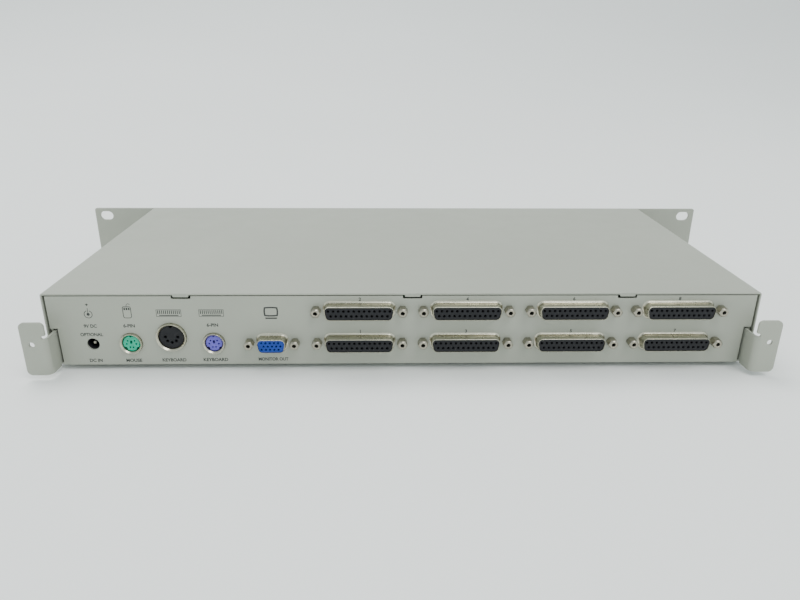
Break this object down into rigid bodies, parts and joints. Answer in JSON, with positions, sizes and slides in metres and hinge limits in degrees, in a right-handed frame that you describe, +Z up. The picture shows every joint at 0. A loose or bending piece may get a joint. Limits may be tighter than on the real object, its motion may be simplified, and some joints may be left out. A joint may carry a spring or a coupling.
{
  "type": "kvm switch",
  "caption": "Rack-mount KVM switch: a slim steel case with a slotted faceplate and push buttons in front, and stacked D connectors with round input sockets behind.",
  "frame": {"origin": "on the table under the middle of the whole object", "axes": "-Y out of the faceplate, +Y out of the connector panel, +Z up, so +X is to the right seen from the front"},
  "size_m": [0.4826, 0.207, 0.0455],
  "materials": {
    "case_paint": "light warm grey powder coat, satin",
    "plated_steel": "nickel plate, slightly warm",
    "black_plastic": "moulded",
    "monitor_blue": "moulded",
    "mouse_green": "moulded",
    "keyboard_purple": "moulded",
    "circuit_board": "green solder mask",
    "cable_grey": "flat cable insulation",
    "button_grey": "moulded",
    "light_pipe": "clear moulding",
    "foot_rubber": "moulded"
  },
  "bodies": {
    "enclosure": {"chassis_tray": "case_paint", "top_cover": "case_paint", "rack_faceplate": "case_paint", "rear_bracket_left": "case_paint", "rear_bracket_right": "case_paint", "port_shield_1_2": "plated_steel", "port_housing_1_2": "black_plastic", "port_shield_3_4": "plated_steel", "port_housing_3_4": "black_plastic", "port_shield_5_6": "plated_steel", "port_housing_5_6": "black_plastic", "port_shield_7_8": "plated_steel", "port_housing_7_8": "black_plastic", "monitor_port_shell": "plated_steel", "monitor_port_insert": "monitor_blue", "port_1_jackscrew_left": "plated_steel", "port_1_jackscrew_right": "plated_steel", "port_2_jackscrew_left": "plated_steel", "port_2_jackscrew_right": "plated_steel", "port_3_jackscrew_left": "plated_steel", "port_3_jackscrew_right": "plated_steel", "port_4_jackscrew_left": "plated_steel", "port_4_jackscrew_right": "plated_steel", "port_5_jackscrew_left": "plated_steel", "port_5_jackscrew_right": "plated_steel", "port_6_jackscrew_left": "plated_steel", "port_6_jackscrew_right": "plated_steel", "port_7_jackscrew_left": "plated_steel", "port_7_jackscrew_right": "plated_steel", "port_8_jackscrew_left": "plated_steel", "port_8_jackscrew_right": "plated_steel", "monitor_jackscrew_left": "plated_steel", "monitor_jackscrew_right": "plated_steel", "mouse_socket_shell": "plated_steel", "keyboard_socket_shell": "plated_steel", "din_socket_shell": "plated_steel", "mouse_socket_insert": "mouse_green", "keyboard_socket_insert": "keyboard_purple", "din_socket_insert": "black_plastic", "power_jack": "black_plastic", "main_board": "circuit_board", "front_board": "circuit_board", "ribbon_cable": "cable_grey", "light_bar": "light_pipe", "cover_screw_front_left": "plated_steel", "foot_front_left": "foot_rubber", "cover_screw_front_right": "plated_steel", "foot_front_right": "foot_rubber", "cover_screw_rear_left": "plated_steel", "foot_rear_left": "foot_rubber", "cover_screw_rear_right": "plated_steel", "foot_rear_right": "foot_rubber"},
    "button_1": {"port_button_1": "button_grey"},
    "button_2": {"port_button_2": "button_grey"},
    "button_3": {"port_button_3": "button_grey"},
    "button_4": {"port_button_4": "button_grey"},
    "button_5": {"port_button_5": "button_grey"},
    "button_6": {"port_button_6": "button_grey"},
    "button_7": {"port_button_7": "button_grey"},
    "button_8": {"port_button_8": "button_grey"}
  },
  "joints": [
    {"name": "button_1_press", "type": "slide", "parent": "enclosure", "child": "button_1", "axis": [0, 1, 0], "range_m": [0, 0.0015], "stiffness_N_per_m": 500},
    {"name": "button_2_press", "type": "slide", "parent": "enclosure", "child": "button_2", "axis": [0, 1, 0], "range_m": [0, 0.0015], "stiffness_N_per_m": 500},
    {"name": "button_3_press", "type": "slide", "parent": "enclosure", "child": "button_3", "axis": [0, 1, 0], "range_m": [0, 0.0015], "stiffness_N_per_m": 500},
    {"name": "button_4_press", "type": "slide", "parent": "enclosure", "child": "button_4", "axis": [0, 1, 0], "range_m": [0, 0.0015], "stiffness_N_per_m": 500},
    {"name": "button_5_press", "type": "slide", "parent": "enclosure", "child": "button_5", "axis": [0, 1, 0], "range_m": [0, 0.0015], "stiffness_N_per_m": 500},
    {"name": "button_6_press", "type": "slide", "parent": "enclosure", "child": "button_6", "axis": [0, 1, 0], "range_m": [0, 0.0015], "stiffness_N_per_m": 500},
    {"name": "button_7_press", "type": "slide", "parent": "enclosure", "child": "button_7", "axis": [0, 1, 0], "range_m": [0, 0.0015], "stiffness_N_per_m": 500},
    {"name": "button_8_press", "type": "slide", "parent": "enclosure", "child": "button_8", "axis": [0, 1, 0], "range_m": [0, 0.0015], "stiffness_N_per_m": 500}
  ]
}
